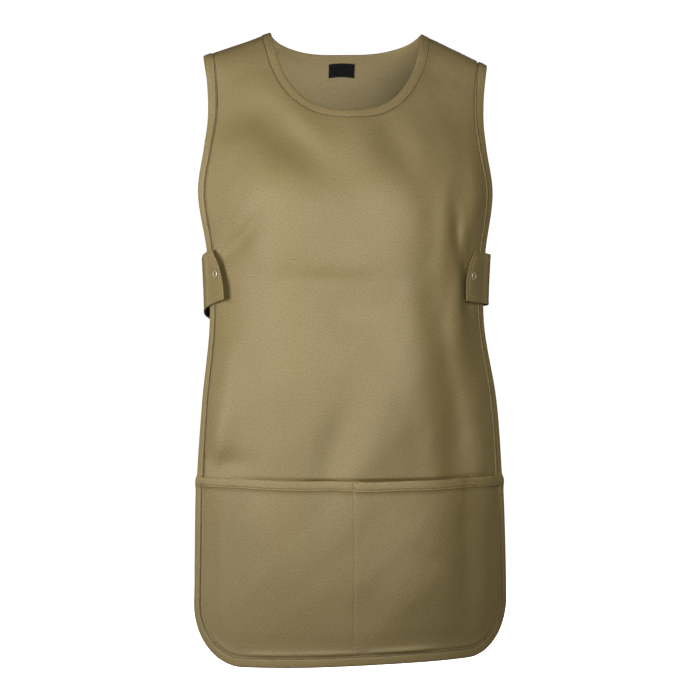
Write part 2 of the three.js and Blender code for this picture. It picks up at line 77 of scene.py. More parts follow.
# %% Sections of the cloth
# Columns: height, depth, half width, sideways shift, set-back of the edges, sharpness of that turn,
# fall to the sides.
SECTIONS = np.array([
    (-759, -128, 188, 2.5, 78, 0.25, 0),  # front hem
    (-655, -127, 186.5, 3, 80, 0.25, 0),  # middle of the pocket
    (-545, -124, 184, 2.5, 82, 0.25, 0),  # mouth of the pocket
    (-450, -122, 178, 3, 90, 0.25, 0),  # hip
    (-350, -120, 166, 0.5, 98, 0.2, 0),  # waist
    (-270, -122, 168.5, -0.5, 97, 0.1, 0),  # under the bust
    (-195, -118, 178, -2, 88, -0.05, 0),  # bust
    (-140, -98, 171, -2, 68, 0, 10),  # chest
    (-95, -70, 167, -1, 46, 0, 28),  # front of the collar
    (-50, -46, 168, -0.5, 28, 0, 46),  # upper chest
    (-16, -26, 171, 0, 13, 0, 60),  # front of the shoulder
    (-4, -12.5, 172.5, 0, 5, 0, 68),
    (0, 0, 173, 0, 0, 0, 71),  # crest of the shoulder
    (-4, 12.5, 172.5, 0, -4, 0, 68),
    (-15, 29, 171, 0, -11, 0, 60),  # back of the shoulder
    (-45, 60, 167, 0, -27, 0, 44),  # back of the collar
    (-97, 80, 163, 0, -41, 0, 22),  # upper back
    (-165, 92, 166, 0, -54, 0.1, 6),  # shoulder blades
    (-260, 94, 165, 0, -62, 0.15, 0),  # mid back
    (-350, 91, 163, 0, -62, 0.2, 0),  # back of the waist
    (-470, 97, 170, 0, -60, 0.25, 0),  # seat
    (-620, 105, 179, 0, -58, 0.25, 0),  # back skirt
    (-759, 108, 183, 0, -56, 0.25, 0),  # back hem
], float)
CREST, MOUTH = 12, 2  # rows of the shoulder crest and the pocket's mouth


def run_length(points):
    steps = np.linalg.norm(np.diff(points, axis=0), axis=1)
    return np.concatenate([[0], np.cumsum(steps)])


ALONG = run_length(SECTIONS[:, :2])
ALONG -= ALONG[CREST]
FRONT_HEM, BACK_HEM = -ALONG[0], ALONG[-1]
NECK_HALF = 93
NECK_U = NECK_HALF / SECTIONS[CREST, 2]
SHOULDER_TILT = 0.13
print("front", round(FRONT_HEM), "mm and back", round(BACK_HEM), "mm along the cloth")

# %% [markdown]
# ## Folds
# A worn apron is never quite smooth. Wide, soft folds are part of its form: the bust, the hollows beside
# the neck, the pull of the tabs and the drapes of the skirt. Each row of a table gives a fold's middle,
# half length, half width, lean from upright, and rise. Narrower creases, and the small puckers at sewn
# places, have tables of their own.

# %% Fold tables
FRONT_FOLDS = (
    (-82, -225, 75, 62, 0, 9),  # left breast
    (82, -225, 75, 62, 0, 9),  # right breast
    (-75, -128, 60, 30, -38, -6),  # hollow beside the neck
    (55, -135, 55, 26, 38, -5),
    (-25, -310, 24, 70, 0, -4),  # under the bust
    (-128, -258, 45, 13, 38, -4),  # pull of the left tab
    (124, -268, 62, 13, 6, -6),  # pull of the right tab
    (-128, -505, 70, 24, -4, -5),  # left skirt hollow
    (-30, -520, 70, 20, 8, -4),  # middle skirt hollow
    (22, -500, 110, 22, 20, 4),  # middle skirt ridge
    (122, -520, 160, 15, -4, -6),  # right skirt hollow
    (95, -480, 150, 20, -4, 3),  # right skirt ridge
    (-70, -770, 60, 40, 0, 3),  # waves of the hem
    (40, -770, 60, 45, 0, -3),
)
BACK_FOLDS = (
    (0, -220, 120, 26, 0, -5),  # spine
    (-95, -560, 190, 30, 6, 5),  # drapes of the back skirt
    (90, -580, 180, 30, -6, 5),
)
FRONT_CREASES = (
    (-85, -132, 70, 26, -56, -7),  # hollow from the left shoulder across the chest
    (-60, -110, 55, 15, -42, 5),  # ridge between that hollow and the neck
    (54, -148, 45, 22, -27, -6),  # hollow below the neck on the right
    (-105, -180, 60, 40, 10, 6),  # fullness of the left breast
    (155, -220, 110, 28, 8, 14),  # fullness beside the right arm opening
    (116, -255, 90, 18, 4, 8),  # cloth held out beside the right tab
    (128, -350, 75, 20, 0, 11),  # and below it
    (0, -255, 90, 55, 0, -6),  # flat between the breasts
    (-30, -304, 9, 55, 0, -2),  # line under the bust
    (0, -345, 30, 50, 0, -9),  # hollow of the waist
    (74, -350, 80, 24, 0, 4),  # ridge down from the right breast
    (-14, -490, 60, 18, 15, -4),  # hollow left of the skirt's ridge
    (70, -450, 70, 22, 20, 4),  # second ridge right of it
    (132, -480, 70, 14, -8, -6),  # deep hollow of the right hip
    (158, -470, 80, 16, -8, 2),  # ridge beside the right rim
    (-170, -475, 80, 34, 8, 18),  # rim held forward at the left hip
    (-95, -420, 90, 42, 5, 3),  # broad ridge left of the middle
    (-155, -525, 16, 34, 0, -8),  # dip over the pocket's left end
)
PUCKERS = (
    (-171, -527, 7, 5, 55, 2.0),  # beside the pocket's left end
    (-160, -533, 9, 9, 60, -2.2),
    (1, -530, 12, 5, 6, 1.4),  # over the bar tack
    (-139, -263, 40, 9, 41, -3.5),  # from the left tab's end
    (140, -303, 32, 8, -10, -6.5),  # beside the right tab
    (130, -256, 40, 8, -9, -6.5),
)

# %% [markdown]
# ## The cloth as a function
# Any place on the cloth is now one sum. `u` runs from -1 at the left edge to 1 at the right, and `along` is
# the distance from the shoulder crest, less than 0 on the front. The same function serves the panels, the
# pocket, the tapes, the tabs and every stitch, so the pieces fit each other.

# %% Smooth curves, steps and folds
def hermite(s, start, end, leave, reach):
    level = (2 * s**3 - 3 * s**2 + 1) * start + (3 * s**2 - 2 * s**3) * end
    return level + (s**3 - 2 * s**2 + s) * leave + (s**3 - s**2) * reach


def smooth(knots, values, at):
    gap = np.diff(knots)[:, None]
    rate = np.diff(values, axis=0) / gap
    inner = (rate[:-1] * gap[1:] + rate[1:] * gap[:-1]) / (gap[1:] + gap[:-1])
    slope = np.vstack([rate[:1], inner, rate[-1:]])
    i = np.clip(np.searchsorted(knots, at, side="left") - 1, 0, len(knots) - 2)
    h = (knots[i + 1] - knots[i])[..., None]
    s = (at - knots[i])[..., None] / h
    return hermite(s, values[i], values[i + 1], h * slope[i], h * slope[i + 1])


def ease(value):
    value = np.clip(value, 0, 1)
    return value * value * (3 - 2 * value)


def bell(away, width):
    return np.exp(-((away / width) ** 2))


def rise(folds, x, z):
    total = np.zeros_like(x)
    for fold_x, fold_z, length, width, lean, height in folds:
        a = math.radians(lean)
        lengthwise = (x - fold_x) * math.sin(a) + (z - fold_z) * math.cos(a)
        across = (x - fold_x) * math.cos(a) - (z - fold_z) * math.sin(a)
        total += height * bell(lengthwise, length) * bell(across, width)
    return total


# %% Points and normals of the cloth
SEAM_U = -0.008  # the pocket's middle seam
MOUTH_SAG = 3
DIP, MORE_DIP = 1.8, 2.0  # the panel falls in behind the pocket's mouth, more so on the right
NECK_ROUNDING = 0.12
TAB_MIDDLE, TAB_REACH = -302, 58  # creases stop under the tabs
STEP_U, STEP_ALONG = 1e-3, 0.25


def mouth(u):
    return ALONG[MOUTH] + MOUTH_SAG * np.asarray(u, float) ** 2


def mouth_dip(u, along):
    below = mouth(u) - along
    depth = DIP + MORE_DIP * ease((u + 0.5) / 0.35)
    return depth * ease((below + 5.4) / 4) * ease((70 - below) / 50) * ease((1 - np.abs(u)) / 0.12)


def half_width(along):
    return np.interp(along, ALONG, SECTIONS[:, 2])


def cloth(u, along, creased=True):
    u, along = np.broadcast_arrays(np.asarray(u, float), np.asarray(along, float))
    z, y, half, shift, edge, turn, fall = np.moveaxis(smooth(ALONG, SECTIONS, along), -1, 0)
    x = half * u + shift
    z = z - fall * (1 + SHOULDER_TILT * u) * (np.hypot(u, NECK_ROUNDING) - NECK_U)
    calm = (0.35 + 0.65 * ease((1 - np.abs(u)) / 0.16)) * ease((-along - 18) / 75)
    at_tab = ease((np.abs(u) - 0.78) / 0.1) * np.exp(-(((z - TAB_MIDDLE) / TAB_REACH) ** 4))
    creases = rise(FRONT_CREASES, x, z) * calm * (1 - 0.9 * at_tab)
    details = creases + rise(PUCKERS, x, z) - mouth_dip(u, along)
    front = rise(FRONT_FOLDS, x, z) + details * creased
    out = np.where(along < 0, -front, rise(BACK_FOLDS, x, z))
    return np.stack([x, y + edge * ((1 - turn) * u**2 + turn * u**4) + out, z], -1)


def smooth_cloth(u, along):
    return cloth(u, along, False)


def unit(vectors):
    return vectors / np.linalg.norm(vectors, axis=-1, keepdims=True)


def slopes(surface, u, along):
    across = surface(u + STEP_U, along) - surface(u - STEP_U, along)
    lengthwise = surface(u, along + STEP_ALONG) - surface(u, along - STEP_ALONG)
    return across / (2 * STEP_U), lengthwise / (2 * STEP_ALONG)


def over(surface, u, along, height):
    normal = unit(np.cross(*slopes(surface, u, along)))
    return surface(u, along) + normal * np.asarray(height, float)[..., None], normal


def above(u, along, height):
    return over(cloth, u, along, height)


# %% [markdown]
# ## Edges
# The outer edge goes down one side, round a corner, along the hem and up again. The neck opening is close
# to an ellipse, fuller at the front and slimmer at the back. Both are dense lists of places first, then
# spaced evenly by real length, so that no sheet gets long thin faces.

# %% Outer edges and the neck opening
# The keys are -1 for the left or the front, 1 for the right or the back.
CORNER = {-1: 73, 1: 66}
HEM_LEAN = {-1: 6, 1: 0}
NECK_DROP = {-1: 140, 1: 69}
NECK_FULLNESS = {-1: 2.25, 1: 1.85}
SIDE_PLACES, CORNER_PLACES, HEM_PLACES, NECK_PLACES = 500, 160, 400, 1201


def hem_at(side, u):
    return (FRONT_HEM if side < 0 else BACK_HEM) - HEM_LEAN[side] * u


def corner_size(side, hand):
    radius = CORNER[hand]
    turn = side * (hem_at(side, hand) - radius)
    stretch = np.linalg.norm(cloth(0.851 * hand, turn) - cloth(0.849 * hand, turn)) / 0.002
    return radius, radius / stretch


def outer_edge(side):
    halves = []
    for hand in (-1, 1):
        radius, corner_u = corner_size(side, hand)
        down = np.linspace(0, hem_at(side, hand) - radius, SIDE_PLACES)
        straight = np.stack([np.full(SIDE_PLACES, float(hand)), down], 1)
        angle = np.linspace(0, math.pi / 2, CORNER_PLACES)[1:]
        u = hand * (1 - corner_u * (1 - np.cos(angle)))
        bend = np.stack([u, hem_at(side, u) - radius * (1 - np.sin(angle))], 1)
        halves.append(np.concatenate([straight, bend]))
    u = np.linspace(halves[0][-1, 0], halves[1][-1, 0], HEM_PLACES)[1:-1]
    path = np.concatenate([halves[0], np.stack([u, hem_at(side, u)], 1), halves[1][::-1]])
    return path * (1, side)


def neck_edge(side):
    angle = np.linspace(0, math.pi, NECK_PLACES)
    power = 2 / NECK_FULLNESS[side]
    u = -NECK_U * np.sign(np.cos(angle)) * np.abs(np.cos(angle)) ** power
    return np.stack([u, side * NECK_DROP[side] * np.sin(angle).clip(0) ** power], 1)


def at_length(at, length, values):
    return np.stack([np.interp(at, length, column) for column in values.T], 1)


def spaced(path, count):
    length = run_length(cloth(*path.T))
    return at_length(np.linspace(0, length[-1], count), length, path), length[-1]


# The step in u and along that goes one millimetre inwards from each place of an edge.
def inwards(path, towards):
    step = np.gradient(path, axis=0)
    if np.allclose(path[0], path[-1]):
        step[0] = step[-1] = path[1] - path[-2]
    across, lengthwise = slopes(cloth, *path.T)
    tangent = unit(across * step[:, :1] + lengthwise * step[:, 1:])
    inward = towards * np.cross(unit(np.cross(across, lengthwise)), tangent)
    aa, al, ll = (across**2).sum(1), (across * lengthwise).sum(1), (lengthwise**2).sum(1)
    ia, il = (inward * across).sum(1), (inward * lengthwise).sum(1)
    area = aa * ll - al**2
    return np.stack([(ia * ll - il * al) / area, (il * aa - ia * al) / area], 1)


# %% [markdown]
# ## Twill
# The cloth is a cotton-blend twill: fine diagonal ribs, a matte face and a faint unevenness of the yarn.
# Two wave textures draw the ribs on the sheet's UV map, which holds the flat pattern in metres, so the
# weave bends with the folds. Noise on three scales gives the slubs, the flecks and the slow drift of the
# dye.

# %% Material helpers
WHITE = (1, 1, 1)


def fill(tree, node, inputs):
    for key, value in inputs.items():
        if isinstance(value, bpy.types.NodeSocket):
            tree.links.new(value, node.inputs[key])
        else:
            node.inputs[key].default_value = value


def new_material(name):
    material = bpy.data.materials.new(name)
    material.use_nodes = True
    tree = material.node_tree
    shader = next(n for n in tree.nodes if n.type == "BSDF_PRINCIPLED")
    return material, tree, shader


def add_node(tree, kind, inputs=None, **settings):
    node = tree.nodes.new(kind)
    for key, value in settings.items():
        setattr(node, key, value)
    fill(tree, node, inputs or {})
    return node


def flat_place(tree):
    return add_node(tree, "ShaderNodeUVMap", uv_map="flat").outputs["UV"]


def object_place(tree):
    return add_node(tree, "ShaderNodeTexCoord").outputs["Object"]


def noise(tree, place, scale, detail, roughness=0.5):
    inputs = {"Vector": place, "Scale": scale, "Detail": detail, "Roughness": roughness}
    return add_node(tree, "ShaderNodeTexNoise", inputs).outputs["Fac"]


def bands(tree, place, scale, direction, distortion, **more):
    inputs = {"Vector": place, "Scale": scale, "Distortion": distortion, **more}
    node = add_node(tree, "ShaderNodeTexWave", inputs, wave_type="BANDS", bands_direction=direction)
    return node.outputs["Fac"]


def in_range(tree, value, **limits):
    inputs = {key.replace("_", " "): limit for key, limit in limits.items()}
    return add_node(tree, "ShaderNodeMapRange", {"Value": value, **inputs}).outputs["Result"]


def bump(tree, height, strength, distance, **more):
    inputs = {"Height": height, "Strength": strength, "Distance": distance, **more}
    return add_node(tree, "ShaderNodeBump", inputs).outputs["Normal"]


def multiply(tree, first, second):
    inputs = {"Factor": 1.0, 6: first, 7: second}
    return add_node(tree, "ShaderNodeMix", inputs, data_type="RGBA", blend_type="MULTIPLY").outputs[2]


def colour_ramp(tree, factor, stops):
    node = add_node(tree, "ShaderNodeValToRGB", {"Fac": factor})
    ramp = node.color_ramp
    while len(ramp.elements) < len(stops):
        ramp.elements.new(0.5)
    for element, (place, colour) in zip(ramp.elements, stops):
        element.position = place
        element.color = (*colour, 1)
    return node.outputs["Color"]


# %% Twill material
KHAKI = (0.299, 0.2215, 0.0805)
TAPE_COLOUR = tuple(c * 1.05 for c in KHAKI)
RIB_SCALE = 520.0
BIAS = math.radians(45)
TAPE_GIRTH = 0.02366  # metres from lip to lip, round the fold
# Painted shade: a narrow dark line on the tape's outer face at its lip, standing in for the shadow beside it
LIP_SHADE_FROM, LIP_SHADE_TO = 0.0011, 0.0007  # the dark line beside the lip


def twill(name, base, turn, lip=None):
    material, tree, shader = new_material(name)
    place = flat_place(tree)
    mapping = {"Vector": place, "Rotation": (0, 0, turn)}
    turned = add_node(tree, "ShaderNodeMapping", mapping).outputs["Vector"]
    ribs = bands(tree, turned, RIB_SCALE, "DIAGONAL", 1.2, **{"Detail": 1.0, "Detail Scale": 0.7})
    yarns = bands(tree, turned, RIB_SCALE * 1.9, "Y", 0.6)
    slubs = noise(tree, turned, 900.0, 3.0, 0.65)
    drift = noise(tree, place, 9.0, 4.0, 0.55)
    mottle = noise(tree, turned, 450.0, 2.0, 0.6)
    weave = add_node(tree, "ShaderNodeMath", {0: ribs, 1: yarns}, operation="MULTIPLY").outputs[0]
    dark, light = [tuple(c * f for c in base) for f in (0.86, 1.12)]
    colour = colour_ramp(tree, slubs, [(0.28, dark), (0.5, base), (0.74, light)])
    tints = [
        colour_ramp(tree, drift, [(0.3, (0.93, 0.925, 0.9)), (0.7, WHITE)]),
        colour_ramp(tree, mottle, [(0.3, (0.70, 0.70, 0.67)), (0.7, WHITE)]),
        colour_ramp(tree, weave, [(0.0, (0.86, 0.86, 0.86)), (0.6, WHITE)]),
    ]
    # Painted shade: the last millimetre of the outer face, at the lip, is darkened to stand in for the shadow
    # in the gap between tape and cloth
    if lip is not None:
        height = add_node(tree, "ShaderNodeSeparateXYZ", {"Vector": place}).outputs["Y"]
        lip_shade_mask = in_range(tree, height, From_Min=lip - LIP_SHADE_FROM, From_Max=lip - LIP_SHADE_TO)
        tints.append(colour_ramp(tree, lip_shade_mask, [(0.0, WHITE), (1.0, (0.5, 0.48, 0.44))]))
    for tint in tints:
        colour = multiply(tree, colour, tint)
    ribbed = bump(tree, weave, 0.35, 0.0002)
    fill(tree, shader, {
        "Base Color": colour,
        "Roughness": in_range(tree, slubs, To_Min=0.52, To_Max=0.72),
        "Normal": bump(tree, slubs, 0.25, 0.0002, Normal=ribbed),
        "Specular IOR Level": 0.85,
    })
    return material


khaki_twill = twill("khaki_twill", KHAKI, 0.0)
# The edge and neck tapes carry the line of painted shade along their lip
bias_tape = twill("bias_tape", TAPE_COLOUR, BIAS, TAPE_GIRTH)
mouth_tape = twill("mouth_tape", TAPE_COLOUR, BIAS)

# %% [markdown]
# ## From a grid to a sheet
# Every cloth starts as a flat grid primitive. Its points are moved to their places on the body, and the
# flat places are kept in a UV map called `flat`. A Solidify modifier gives the thickness and is applied at
# once, so the finished piece is a plain mesh.

# %% Sheet helpers
def grid_sheet(name, places, flat, material, wall=None):
    columns, rows = places.shape[:2]
    bpy.ops.object.select_all(action="DESELECT")
    bpy.ops.mesh.primitive_grid_add(x_subdivisions=columns - 1, y_subdivisions=rows - 1, size=2)
    piece = bpy.context.object
    piece.name = piece.data.name = name
    mesh = piece.data
    start = np.empty(len(mesh.vertices) * 3)
    mesh.vertices.foreach_get("co", start)
    start = start.reshape(-1, 3)
    i = np.rint((start[:, 0] + 1) / 2 * (columns - 1)).astype(int)
    j = np.rint((start[:, 1] + 1) / 2 * (rows - 1)).astype(int)
    mesh.vertices.foreach_set("co", (places[i, j] * MM).ravel())
    corners = np.empty(len(mesh.loops), int)
    mesh.loops.foreach_get("vertex_index", corners)
    uv = mesh.uv_layers[0]
    uv.name = "flat"
    uv.data.foreach_set("uv", (flat[i, j] * MM)[corners].ravel())
    if wall is not None:
        share = np.broadcast_to(wall, places.shape[:2])[i, j].round(2)
        group = piece.vertex_groups.new(name="wall")
        for value in np.unique(share):
            group.add([int(k) for k in np.flatnonzero(share == value)], float(value), "REPLACE")
    mesh.materials.append(material)
    mesh.update()
    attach(piece, "root")
    return piece


def select_only(piece):
    bpy.ops.object.select_all(action="DESELECT")
    piece.select_set(True)
    bpy.context.view_layer.objects.active = piece


def edit_all():
    bpy.ops.object.mode_set(mode="EDIT")
    bpy.ops.mesh.select_all(action="SELECT")


def weld(piece):
    select_only(piece)
    edit_all()
    bpy.ops.mesh.remove_doubles(threshold=1e-6)
    bpy.ops.mesh.normals_make_consistent(inside=False)
    bpy.ops.object.mode_set(mode="OBJECT")


def smooth_shade(piece, angle=50):
    select_only(piece)
    bpy.ops.object.shade_smooth_by_angle(angle=math.radians(angle))


def triangles(piece):
    return sum(len(p.vertices) - 2 for p in piece.data.polygons)


def finish_sheet(piece, node, thickness, offset=1.0, angle=50, join=False):
    wall = piece.modifiers.new("wall", "SOLIDIFY")
    wall.thickness = thickness * MM
    wall.offset = offset
    wall.vertex_group = "wall" if "wall" in piece.vertex_groups else ""
    select_only(piece)
    bpy.ops.object.modifier_apply(modifier=wall.name)
    piece.vertex_groups.clear()
    if join:
        weld(piece)
    smooth_shade(piece, angle)
    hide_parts(node)
    print(piece.name, triangles(piece), "triangles")


# %% [markdown]
# ## Front and back panels
# Each panel is a sheet with a scoop in its top edge. Lines that fan out from the neck opening to the outer
# edge cover it without a hole to cut, and the shoulder seams fall on the first and the last line. A low,
# slow ripple is added, because cloth that is exactly smooth looks like paint. Next to the shoulder seam the
# cloth is doubled, and the pocket's bar tack, which goes through both cloths, draws it forwards.

# %% Panels
CLOTH = 0.9
WRAP = 1.2  # the flat cloth is this much wider than it looks from the front
PANEL_LINES = 330
PANEL_RINGS = np.concatenate([
    np.linspace(0, 0.24, 25)[:-1],
    np.linspace(0.24, 0.33, 36)[:-1],
    np.linspace(0.33, 1, 70),
])
RIM_RINGS = np.array([0, 4, 7.5, 8.8, 9.6, 10.3, 11, 11.7, 12.6, 14, 17])
RIM_END, PANEL_REACH = 22.0, 200
DITCH_AT = 10.8  # the cloth is drawn in beside the edge tape
RIPPLES = (  # waves across and along, phase, height
    (0.021, 0.013, 0.4, 0.30), (-0.017, 0.027, 1.9, 0.26), (0.052, 0.019, 4.1, 0.12),
    (-0.041, 0.047, 2.6, 0.10), (0.093, -0.038, 0.9, 0.05), (0.071, 0.088, 5.2, 0.05),
)


def unevenness(u, along):
    x = u * 180
    return sum(h * np.sin(2 * math.pi * (a * x + b * along) / 2.2 + p) for a, b, p, h in RIPPLES)


def pattern(u, along):
    return np.stack([u * half_width(along) * WRAP, along], -1)


def panel(side, name):
    outer, neck = [spaced(edge(side), PANEL_LINES)[0] for edge in (outer_edge, neck_edge)]
    if side > 0:
        outer, neck = outer[::-1], neck[::-1]
    step = inwards(outer, 1)
    share = PANEL_RINGS[None, :, None]
    rim = outer[:, None] + step[:, None] * RIM_RINGS[None, :, None]
    inside = (outer + step * RIM_END)[:, None] * (1 - share) + neck[:, None] * share
    place = np.concatenate([rim, inside], 1)
    u, along = place[..., 0], side * np.maximum(side * place[..., 1], 0.1)
    from_edge = np.concatenate([RIM_RINGS, RIM_END + PANEL_RINGS * PANEL_REACH])[None]
    calm = np.minimum(from_edge / 25, (RIM_END + PANEL_REACH - from_edge) / 20)
    uneven = unevenness(u, along) * np.clip(calm, 0, 1)
    height = 0.05 - (0.8 + 0.7 * ease((u - 0.8) / 0.1)) * bell(from_edge - DITCH_AT, 1.0)
    if side < 0:
        below = mouth(u) - along
        seam = 0.55 / (1 + np.exp((np.abs(along) - 6.5) * 2.2))
        tacked = 5.6 * bell(u - SEAM_U, 0.045) * ease((below + 4) / 9) * (1 - ease((below - 10) / 55))
        uneven = uneven * (1 - 0.9 * ease((below - 2) / 10))
        height = height + seam + tacked
    points, _ = above(u, along, height + uneven)
    piece = grid_sheet(name, points, pattern(u, along), khaki_twill)
    finish_sheet(piece, name.replace("cloth", "panel"), CLOTH)
    return piece


front_cloth = panel(-1, "front_cloth")
back_cloth = panel(1, "back_cloth")

# %% [markdown]
# ## The double pocket
# One wide cloth lies over the lower front. Its sides and foot are caught in the edge tape, its mouth is
# open, and stitches down the middle make two pouches. So its height over the panel is least at the edges
# and the middle, and most at the mouth. The columns crowd together in the rounded corners, to follow their
# curve.

# %% Height of the pocket
POCKET_FLOOR = -(FRONT_HEM - 25)
POCKET_FOOT, POCKET_BULGE = 1.45, 6.0
TAPE_INSIDE = 10.5  # where the pocket comes out from under the edge tape
POCKET_FOLDS = (
    (-145, -640, 80, 24, 0, -2),  # hollow inside the left rim
    (-75, -670, 90, 40, 0, 1.5),  # fullness of the left pocket
    (60, -675, 60, 40, 0, 2),  # fullness of the right pocket
    (140, -650, 90, 20, -3, -3),  # hollow inside the right rim
    (18, -705, 40, 20, 25, -2),  # pull beside the middle seam
    (92, -637, 32, 9, -58, -1.2),  # faint line across the right pocket
)


def front_corner(u):
    return [np.where(u < 0, *pair) for pair in zip(corner_size(-1, -1), corner_size(-1, 1))]


def edge_gap(u, along):
    radius, corner_u = front_corner(u)
    beside, over_hem = (1 - np.abs(u)) * radius / corner_u, hem_at(-1, u) + along
    rounded = radius - np.hypot(radius - beside, radius - over_hem)
    in_corner = (beside < radius) & (over_hem < radius)
    return np.where(in_corner, rounded, np.minimum(beside, over_hem))


# A small roll of loose cloth along the foot, on each side of the middle.
def foot_roll(x, gap, along):
    left = 1.3 * ease((x + 130) / 30) * ease((12 - x) / 16)
    right = 1.9 * ease((x - 12) / 20) * ease((108 - x) / 35)
    slack = (0.5 + left + right) * (0.85 + 0.15 * np.sin(x / 9 + 1.3 * np.sin(x / 23)))
    return slack * bell(gap - 14, 2.8) * ease((POCKET_FLOOR + 8 - along) / 12)


def pocket_height(u, along):
    gap = edge_gap(u, along)
    x, _, z = np.moveaxis(cloth(u, along), -1, 0)
    depth = np.clip((POCKET_FLOOR - along) / (POCKET_FLOOR - ALONG[MOUTH]), 0, 1)
    pouch = np.sin(math.pi * np.clip(np.abs(u), 0, 1)) ** 2 * np.sin(depth * math.pi / 2)
    lift = 1.4 * ease((14 - (mouth(u) - along)) / 5)
    free = gap - TAPE_INSIDE
    soft = rise(POCKET_FOLDS, x, z) + 0.7 * unevenness(u * 1.4 + 0.6, along * 1.2)
    stand = 1.0 + 3.0 * ease(free / 90) + POCKET_BULGE * pouch + soft * ease(free / 65)
    seam = 0.4 * bell(u - SEAM_U, 0.009)
    ditch = 0.5 * bell(gap - 11, 1.1)
    loose = np.maximum((stand - seam) * ease(free / 30) + foot_roll(x, gap, along), 0)
    return POCKET_FOOT + mouth_dip(u, along) + lift + loose - ditch


# %% [markdown]
# The pocket is stiffer than the panel under it, so it bridges narrow creases: its base is mostly the mean
# of the cloth to both sides, most of all at the mouth, where the tape is.

# %% Pocket sheet
BRIDGE = np.linspace(-0.12, 0.12, 9)
CORNER_COLUMNS, MIDDLE_COLUMNS = 34, 150


def pocket_point(u, along):
    smooth_normal = over(smooth_cloth, u, along, 0 * u)[1]
    bridged = sum(cloth(u + d, along)[..., 1] for d in BRIDGE) / len(BRIDGE)
    stiff = 0.6 + 0.35 * ease((50 - (mouth(u) - along)) / 40)
    base = cloth(u, along)
    base[..., 1] += (bridged - base[..., 1]) * stiff * ease((0.97 - np.abs(u)) / 0.12)
    return base + smooth_normal * pocket_height(u, along)[..., None]


def on_pocket(u, along, height):
    return over(pocket_point, u, along, height)


def pocket_foot(u):
    radius, corner_u = front_corner(u)
    turned = np.clip(1 - (1 - np.abs(u)) / corner_u, 0, 1)
    return -(hem_at(-1, u) - radius * (1 - np.sqrt(1 - turned**2)))


left, right = corner_size(-1, -1)[1], corner_size(-1, 1)[1]
bend = 1 - np.cos(np.linspace(0, math.pi / 2, CORNER_COLUMNS))
middle = np.linspace(-1 + left, 1 - right, MIDDLE_COLUMNS)[1:-1]
columns = np.concatenate([-1 + left * bend, middle, (1 - right * bend)[::-1]])
down = np.concatenate([np.linspace(0, 0.085, 18)[:-1], np.linspace(0.085, 1, 84)])
u = np.repeat(columns[:, None], len(down), axis=1)
along = mouth(u) * down + pocket_foot(u) * (1 - down)
places = pocket_point(u, along)
pocket_cloth = grid_sheet("pocket_cloth", places, pattern(u, along), khaki_twill)
finish_sheet(pocket_cloth, "pocket_panel", CLOTH)

# %% [markdown]
# ## Folded tapes
# Every raw edge is wrapped in a bias tape, folded over it and sewn through. Its cross-section is one line:
# up the inside, round the fold and down the outside, with a dent where the stitches pull it in. Swept along
# an edge, the line gives a sheet, and Solidify makes it a tape. Over the pocket the tape is lifted, and the
# thick place at the pocket's mouth shows as a small bump.

# %% Line of a tape
TAPE_WIDTH, TAPE_WALL, STITCH_AT = 10.0, 0.8, 8.3
INNER_FACE, OUTER_FACE, FACES_PART = -0.45, 1.5, 0.5
TAPE_LINE = np.array([  # distance from the fold, depth of the dent
    (10.0, 0.30), (9.8, 0.20), (9.4, 0.06), (8.9, 0.05), (8.6, 0.14), (STITCH_AT, 0.34),
    (8.0, 0.14), (7.6, 0.0), (6.4, -0.1), (4.4, -0.14), (2.0, -0.12), (0.4, 0),
])
FOLD_ANGLES = np.radians([-58, -28, 0, 28, 58])
RIM_WALL = [0.35, 0.6, 0.9]  # share of the wall at the lips
TAPE_WALLS = np.array([RIM_WALL + [1.0] * 23 + RIM_WALL[::-1]])


def wrapped(shape=TAPE_LINE):
    inside = np.stack([TAPE_LINE[:, 0], INNER_FACE + TAPE_LINE[:, 1]], 1)
    outside = np.stack([shape[:, 0], OUTER_FACE - shape[:, 1]], 1)[::-1]
    middle, half = (INNER_FACE + OUTER_FACE) / 2, (OUTER_FACE - INNER_FACE) / 2
    fold = np.stack([0.2 - 1.35 * np.cos(FOLD_ANGLES), middle + half * np.sin(FOLD_ANGLES)], 1)
    return np.concatenate([inside, fold, outside])


def rim_lift(line):
    lift = np.interp(line[:, 0], [8.6, 8.9, 9.4, 9.8], [0, 0.35, 0.8, 1.0])
    return np.where(line[:, 1] > FACES_PART, lift, -0.5 * lift)[None]


def loop(edge, count):
    return spaced(np.concatenate([edge(-1), edge(1)[::-1][1:]]), count)


edge_length, neck_length = loop(outer_edge, 9)[1], loop(neck_edge, 9)[1]
print("outer edge", round(edge_length), "mm, neck", round(neck_length), "mm")

# %% Lift of a tape over what it crosses
def seam_lift(along, height=0.6):
    return height * ease((12 - np.abs(along + 3)) / 9)


def edge_lift(along):
    on_front = along < 0
    over_pocket = ease((mouth(1) + 3 - along) / 5) * on_front
    mouth_bump = bell(along - (mouth(1) - 5), 6.5) * on_front
    return seam_lift(along, 0.25) + 1.25 * over_pocket + 1.5 * mouth_bump


